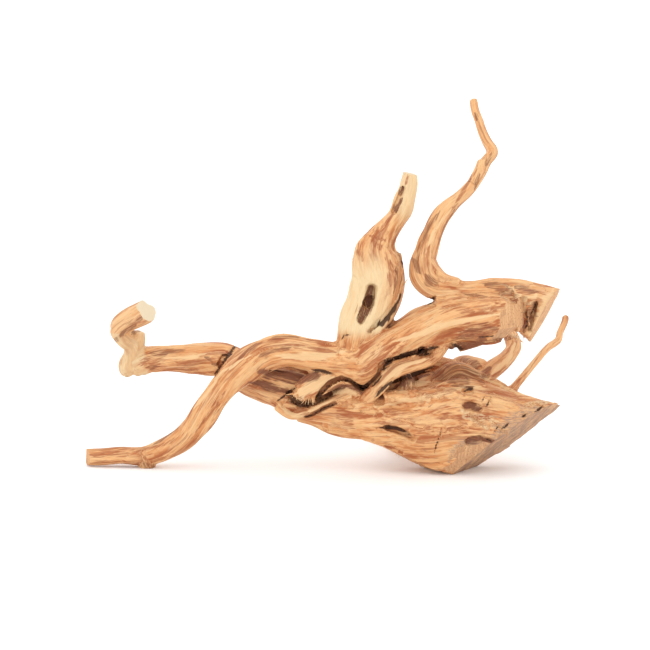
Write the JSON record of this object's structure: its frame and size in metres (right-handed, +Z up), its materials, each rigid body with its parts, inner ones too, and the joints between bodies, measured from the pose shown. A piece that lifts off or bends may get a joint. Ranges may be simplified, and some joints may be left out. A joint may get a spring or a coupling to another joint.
{
  "type": "spiderwood root",
  "caption": "Twisted, debarked shrub rootstock with a sawn trunk end, a stub log above it, forked arms, a swollen shoot and thin upright roots, standing free on its low points.",
  "frame": {"origin": "middle of the bounding box's footprint, on the surface the wood stands on", "axes": "+Z up, +X along the root from the arms' tips towards the sawn trunk end, -Y towards the viewer of its front"},
  "size_m": [0.3124, 0.1226, 0.2298],
  "materials": {
    "wood": "matt, stripped of bark and dried, with pale sawn ends and reddish-brown streaks along the grain"
  },
  "bodies": {
    "root": {"spiderwood_root": "wood"}
  },
  "joints": []
}
